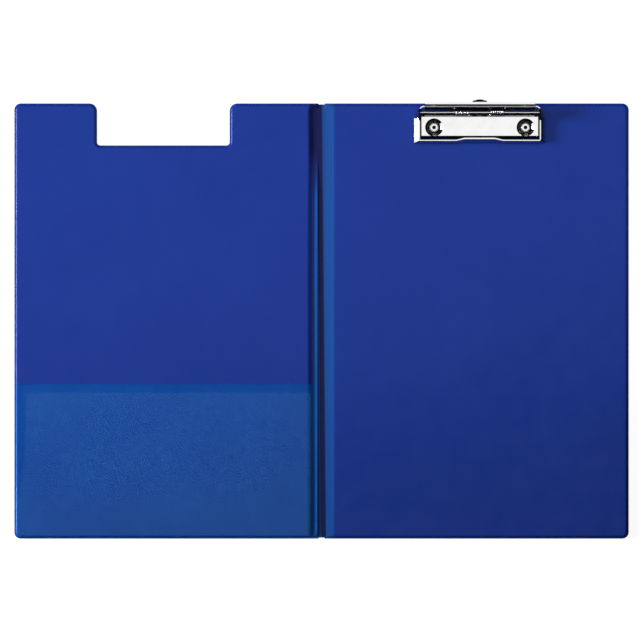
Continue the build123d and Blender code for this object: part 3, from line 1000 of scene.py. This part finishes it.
# %% [markdown]
# The pressed pieces keep their solids. A bevel modifier rounds their cut edges so that they catch
# light. The solids come with split corners, which a bevel can't see, so a weld modifier joins
# them first. A weighted normal modifier keeps the flat faces flat between the rounded edges.

# %% Give the solids their finish and soft edges
finishes = {"clip_base_plate": base_plated, "jaw_lever": jaw_plated_shaded, "hinge_rod": plated,
            "rivets": rivet_steel, "rivet_washers": rivet_steel, "hanging_tab": tab_painted_dark,
            "back_board": pulp_board, "cover_board": pulp_board}
for node, material in finishes.items():
    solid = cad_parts[node]
    solid.data.materials.clear()
    solid.data.materials.append(material)

corner_gap = 0.002 * MM
sharpest = math.radians(30)
edge_round = {"clip_base_plate": 0.36, "jaw_lever": 0.4, "hanging_tab": 0.3}
for node, width in edge_round.items():
    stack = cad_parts[node].modifiers
    weld = stack.new("joined_corners", "WELD")
    weld.merge_threshold = corner_gap
    bevel = stack.new("soft_edges", "BEVEL")
    bevel.width = width * MM
    bevel.segments = 3
    bevel.limit_method = "ANGLE"
    bevel.angle_limit = sharpest
    bevel.miter_outer = "MITER_ARC"
    even = stack.new("even_shading", "WEIGHTED_NORMAL")
    even.keep_sharp = False
print("finished solids:", sorted(finishes))

# %% [markdown]
# ## Springs
# Two torsion springs close the jaw. Their coils turn on the rod: one end lies on the base plate
# and stays, the other leans on the lever and turns with it, so the coil twists a little along its
# length. Each spring is a tube swept along the wire's line, with the plate's leg, the coil and
# the lever's leg.

# %% Two wire springs
rod_y = 162.8
rod_z = 7.85
coil_radius = 2.0
wire_radius = 0.5
coil_start = 8.5
coil_pitch = 1.5
lever_lean = 13.5
coil_turns = 7 + 0.25 - lever_lean / 360
coil_steps = 180
plate_leg = 3.4
lever_leg = 4.4
leg_steps = 4


def coil_line(side):
    """Middle line of the wire from the plate's leg, round the rod, to the lever's leg."""
    def at(turn):
        angle = 2 * math.pi * turn - math.pi / 2
        x = clip_x + side * (coil_start + coil_pitch * turn)
        y = rod_y + coil_radius * math.cos(angle)
        return Vector((x, y, rod_z + coil_radius * math.sin(angle)))
    coil = [at(coil_turns * k / coil_steps) for k in range(coil_steps + 1)]
    first = (coil[0] - coil[1]).normalized()
    last = (coil[-1] - coil[-2]).normalized()
    legs = range(1, leg_steps + 1)
    leg_a = [coil[0] + first * plate_leg * k / leg_steps for k in reversed(legs)]
    leg_b = [coil[-1] + last * lever_leg * k / leg_steps for k in legs]
    return leg_a + coil + leg_b


def wire_mesh(name, line, radius, around=12, dome=0.4):
    """A round wire along a line of points, with domed ends."""
    bm = bmesh.new()
    rings = []
    side = Vector((1, 0, 0))
    for k, place in enumerate(line):
        way = (line[min(k + 1, len(line) - 1)] - line[max(k - 1, 0)]).normalized()
        side = (side - way * side.dot(way)).normalized()
        up = way.cross(side)
        turns = [2 * math.pi * j / around for j in range(around)]
        spokes = [side * math.cos(a) + up * math.sin(a) for a in turns]
        rings.append([bm.verts.new((place + spoke * radius) * MM) for spoke in spokes])
    for a, b in zip(rings, rings[1:]):
        for j in range(around):
            bm.faces.new((a[j], a[(j + 1) % around], b[(j + 1) % around], b[j]))
    for ring, place in ((rings[0], line[0] - (line[1] - line[0]).normalized() * radius * dome),
                        (rings[-1], line[-1] + (line[-1] - line[-2]).normalized() * radius * dome)):
        tip = bm.verts.new(place * MM)
        for j in range(around):
            bm.faces.new((ring[j], ring[(j + 1) % around], tip))
    bmesh.ops.recalc_face_normals(bm, faces=bm.faces)
    for face in bm.faces:
        face.smooth = True
    mesh = bpy.data.meshes.new(name)
    bm.to_mesh(mesh)
    bm.free()
    piece = bpy.data.objects.new(name, mesh)
    bpy.context.collection.objects.link(piece)
    mesh.materials.append(wire_steel)
    return piece


for side, label in ((-1, "left"), (1, "right")):
    spring = wire_mesh("coil_" + label, coil_line(side), wire_radius)
    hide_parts("spring_" + label)
    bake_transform(spring)
print("spring turns:", round(coil_turns, 3))
